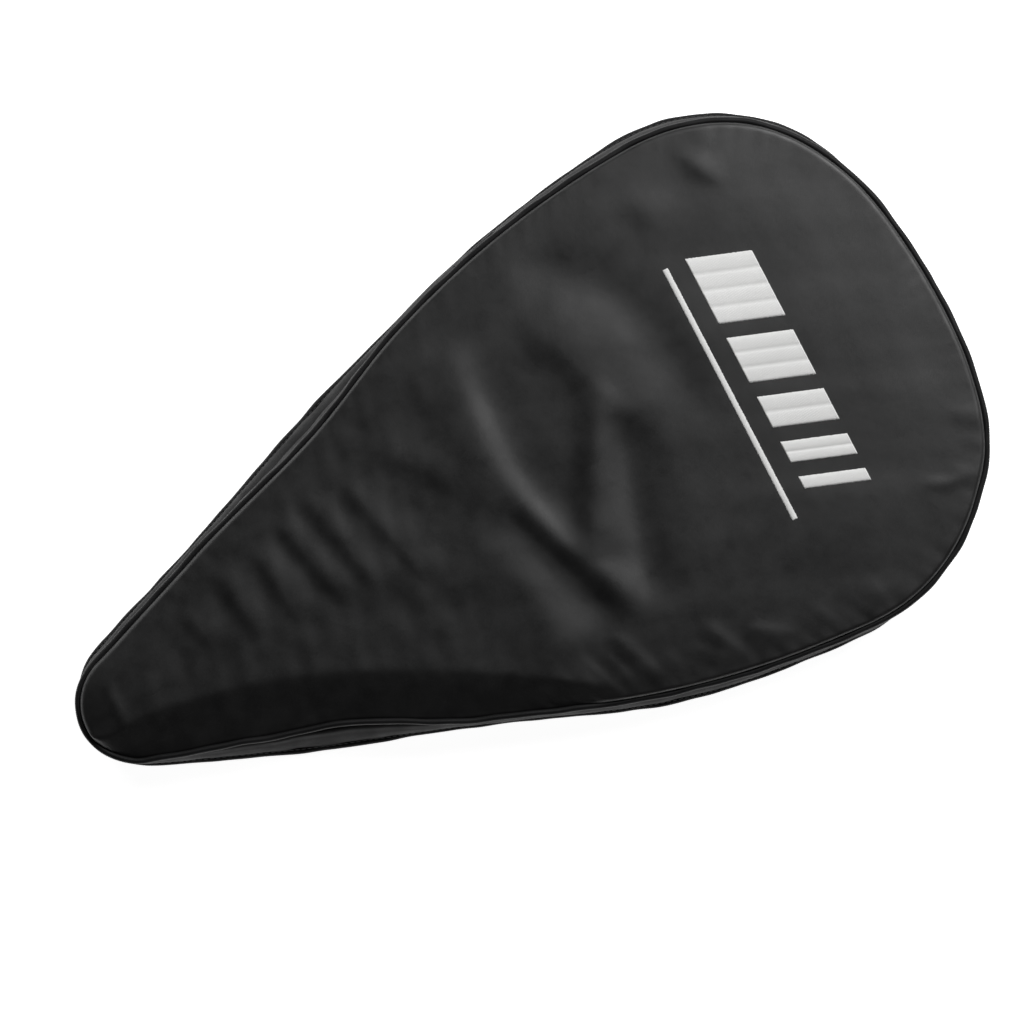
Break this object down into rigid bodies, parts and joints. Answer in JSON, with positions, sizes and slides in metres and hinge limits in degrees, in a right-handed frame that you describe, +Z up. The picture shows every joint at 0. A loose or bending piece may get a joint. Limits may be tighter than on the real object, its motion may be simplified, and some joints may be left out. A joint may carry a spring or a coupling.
{
  "type": "padded racket case",
  "caption": "Teardrop padded cover for a short racket: clamshell with a standing side wall, perimeter zip, piping at both seams and a cloth hinge along one flank.",
  "frame": {"origin": "middle of the footprint, on the surface the case lies on", "axes": "+X from the narrow tip to the head end, +Y towards the hinged flank, +Z up out of the front panel"},
  "size_m": [0.4996, 0.2862, 0.0524],
  "materials": {
    "nylon_shell": "satin woven nylon",
    "padding_foam": "matt foam",
    "lining_cloth": "matt lining cloth",
    "piping_cord": "ribbed cord piping",
    "binding_tape": "woven tape",
    "zip_tape": "woven zip tape",
    "zip_coil": "nylon coil",
    "zip_metal": "black coated zinc",
    "pull_rubber": "moulded rubber",
    "emblem_thread": "raised satin stitching"
  },
  "bodies": {
    "base": {"back_shell": "nylon_shell", "back_padding": "padding_foam", "back_lining": "lining_cloth", "back_piping": "piping_cord", "back_seam_binding": "binding_tape", "gusset_shell": "nylon_shell", "gusset_padding": "padding_foam", "gusset_lining": "lining_cloth", "base_zip_tape": "zip_tape", "base_zip_teeth": "zip_coil", "zip_stop_closed": "zip_metal", "zip_stop_open": "zip_metal", "zip_tab_shoulder": "nylon_shell", "zip_tab_tip": "nylon_shell", "spine_strip": "nylon_shell", "spine_lining": "lining_cloth"},
    "lid": {"front_shell": "nylon_shell", "front_padding": "padding_foam", "front_lining": "lining_cloth", "front_piping": "piping_cord", "front_zip_tape": "zip_tape", "front_zip_teeth": "zip_coil", "front_seam_binding": "binding_tape", "emblem_rule": "emblem_thread", "emblem_bar_1": "emblem_thread", "emblem_bar_2": "emblem_thread", "emblem_bar_3": "emblem_thread", "emblem_bar_4": "emblem_thread", "emblem_bar_5": "emblem_thread"},
    "slider": {"zip_slider": "zip_metal"},
    "pull": {"pull_tab": "zip_metal", "pull_grip": "pull_rubber"}
  },
  "joints": [
    {"name": "lid_hinge", "type": "hinge", "parent": "base", "child": "lid", "pos_m": [-0.12572, 0.06871, 0.0315], "axis": [-0.9353, -0.3538, 0], "range_deg": [0, 170], "deforming": ["spine_strip", "spine_lining"]},
    {"name": "slider_travel", "type": "hinge", "parent": "base", "child": "slider", "pos_m": [0.15645, -0.34629, 0.0315], "axis": [0, 0, -1], "range_deg": [0, 11]},
    {"name": "pull_swing", "type": "hinge", "parent": "slider", "child": "pull", "pos_m": [0.03249, 0.12396, 0.0315], "axis": [0, 0, 1], "range_deg": [0, 170]}
  ]
}
